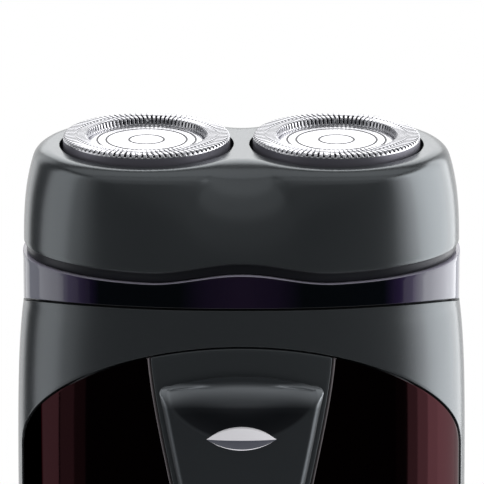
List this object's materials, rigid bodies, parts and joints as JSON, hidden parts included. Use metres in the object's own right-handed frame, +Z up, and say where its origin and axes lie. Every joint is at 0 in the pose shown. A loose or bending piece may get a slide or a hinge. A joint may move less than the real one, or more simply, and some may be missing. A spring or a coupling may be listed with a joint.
{
  "type": "electric shaver",
  "caption": "Cordless rotary shaver with floating slotted guards over spinning cutters, a sliding thumb switch, a lift-off head over a hair chamber and a sliding battery cover.",
  "frame": {"origin": "centre of the bounding box in X and Y, on the base plane in Z", "axes": "+X across the width to the right as seen from the front, +Y from the front to the back, +Z up from the base to the shaving heads"},
  "size_m": [0.06, 0.0366, 0.108],
  "materials": {
    "body_grey": "satin moulded plastic, dark grey",
    "chamber_grey": "moulded plastic, near black",
    "inner_plastic": "moulded plastic, mid grey",
    "knob_red": "moulded plastic, red",
    "ivory_plastic": "acetal, ivory",
    "guard_steel": "ground stainless steel",
    "cap_steel": "bright stainless steel, turned",
    "blade_steel": "hardened steel, ground edges",
    "spring_steel": "spring steel, nickel plated",
    "axle_steel": "ground steel",
    "can_steel": "zinc plated steel",
    "brass": "brass",
    "armature": "laminations wound with enamelled wire",
    "magnet": "ferrite",
    "seal_rubber": "black rubber",
    "ring_violet": "smoked translucent plastic with a violet cast, polished",
    "panel_red": "dark red translucent plastic, polished",
    "strip_grey": "satin moulded plastic, dark grey",
    "slider_grey": "soft-touch plastic, dark grey",
    "chrome": "chrome plated, faceted",
    "cell_jacket": "steel cell with a plain printed jacket"
  },
  "bodies": {
    "root": {"front_housing": "body_grey", "rear_housing": "body_grey", "ring_band": "ring_violet", "chamber_tray": "chamber_grey", "gear_plate": "inner_plastic", "side_panel_left": "panel_red", "side_panel_right": "panel_red", "switch_strip": "strip_grey", "battery_chassis": "inner_plastic", "switch_terminals": "brass", "contact_plate_left": "spring_steel", "contact_plate_right": "spring_steel", "contact_bridge": "spring_steel", "battery_left": "cell_jacket", "battery_right": "cell_jacket", "motor_can": "can_steel", "motor_end_cap": "ivory_plastic", "motor_magnets": "magnet", "motor_terminals": "brass", "motor_screws": "axle_steel", "gear_axle_left": "axle_steel", "gear_axle_right": "axle_steel", "spindle_seals": "seal_rubber", "housing_screws": "axle_steel"},
    "switch": {"switch_slider": "slider_grey", "slider_lens": "chrome", "switch_contact": "brass"},
    "rotor": {"motor_shaft": "axle_steel", "motor_armature": "armature", "motor_pinion": "brass"},
    "drive_left": {"drive_gear_left": "ivory_plastic", "coupling_spring_left": "spring_steel"},
    "drive_right": {"drive_gear_right": "ivory_plastic", "coupling_spring_right": "spring_steel"},
    "coupling_left": {"coupling_cap_left": "ivory_plastic"},
    "coupling_right": {"coupling_cap_right": "ivory_plastic"},
    "head": {"head_shell": "body_grey", "retaining_frame": "inner_plastic"},
    "lock": {"lock_knob": "knob_red"},
    "float_left": {"guard_left": "guard_steel", "guard_cap_left": "cap_steel"},
    "float_right": {"guard_right": "guard_steel", "guard_cap_right": "cap_steel"},
    "cut_left": {"cutter_left": "blade_steel", "cutter_hub_left": "ivory_plastic"},
    "cut_right": {"cutter_right": "blade_steel", "cutter_hub_right": "ivory_plastic"},
    "cover": {"battery_cover": "body_grey"}
  },
  "joints": [
    {"name": "switch_slide", "type": "slide", "parent": "root", "child": "switch", "axis": [0, 0, 1], "range_m": [0, 0.0035]},
    {"name": "rotor_spin", "type": "hinge", "parent": "root", "child": "rotor", "pos_m": [0, 0, 0.085], "axis": [0, 0, 1], "continuous": true},
    {"name": "drive_left_spin", "type": "hinge", "parent": "root", "child": "drive_left", "pos_m": [-0.0125, 0, 0.087], "axis": [0, 0, 1], "continuous": true},
    {"name": "drive_right_spin", "type": "hinge", "parent": "root", "child": "drive_right", "pos_m": [0.0125, 0, 0.087], "axis": [0, 0, 1], "continuous": true},
    {"name": "coupling_left_slide", "type": "slide", "parent": "drive_left", "child": "coupling_left", "axis": [0, 0, 1], "range_m": [-0.0015, 0], "deforming": ["coupling_spring_left"]},
    {"name": "coupling_right_slide", "type": "slide", "parent": "drive_right", "child": "coupling_right", "axis": [0, 0, 1], "range_m": [-0.0015, 0], "deforming": ["coupling_spring_right"]},
    {"name": "head_lift", "type": "slide", "parent": "root", "child": "head", "axis": [0, 0, 1], "range_m": [0, 0.04]},
    {"name": "lock_turn", "type": "hinge", "parent": "head", "child": "lock", "pos_m": [0, 0, 0.1], "axis": [0, 0, 1], "range_deg": [0, 90]},
    {"name": "guard_left_float", "type": "slide", "parent": "head", "child": "float_left", "axis": [0, 0, 1], "range_m": [-0.0015, 0], "stiffness_N_per_m": 600, "springref_m": 0.0005},
    {"name": "guard_right_float", "type": "slide", "parent": "head", "child": "float_right", "axis": [0, 0, 1], "range_m": [-0.0015, 0], "stiffness_N_per_m": 600, "springref_m": 0.0005},
    {"name": "cutter_left_spin", "type": "hinge", "parent": "float_left", "child": "cut_left", "pos_m": [-0.0125, 0, 0.105], "axis": [0, 0, 1], "continuous": true},
    {"name": "cutter_right_spin", "type": "hinge", "parent": "float_right", "child": "cut_right", "pos_m": [0.0125, 0, 0.105], "axis": [0, 0, 1], "continuous": true},
    {"name": "cover_slide", "type": "slide", "parent": "root", "child": "cover", "axis": [0, 0, -1], "range_m": [0, 0.06]}
  ],
  "couplings": [
    {"joint": "drive_left_spin", "follows": "rotor_spin", "ratio": -0.25},
    {"joint": "drive_right_spin", "follows": "rotor_spin", "ratio": -0.25},
    {"joint": "cutter_left_spin", "follows": "rotor_spin", "ratio": -0.25},
    {"joint": "cutter_right_spin", "follows": "rotor_spin", "ratio": -0.25},
    {"joint": "coupling_left_slide", "follows": "guard_left_float", "ratio": 1},
    {"joint": "coupling_right_slide", "follows": "guard_right_float", "ratio": 1}
  ]
}
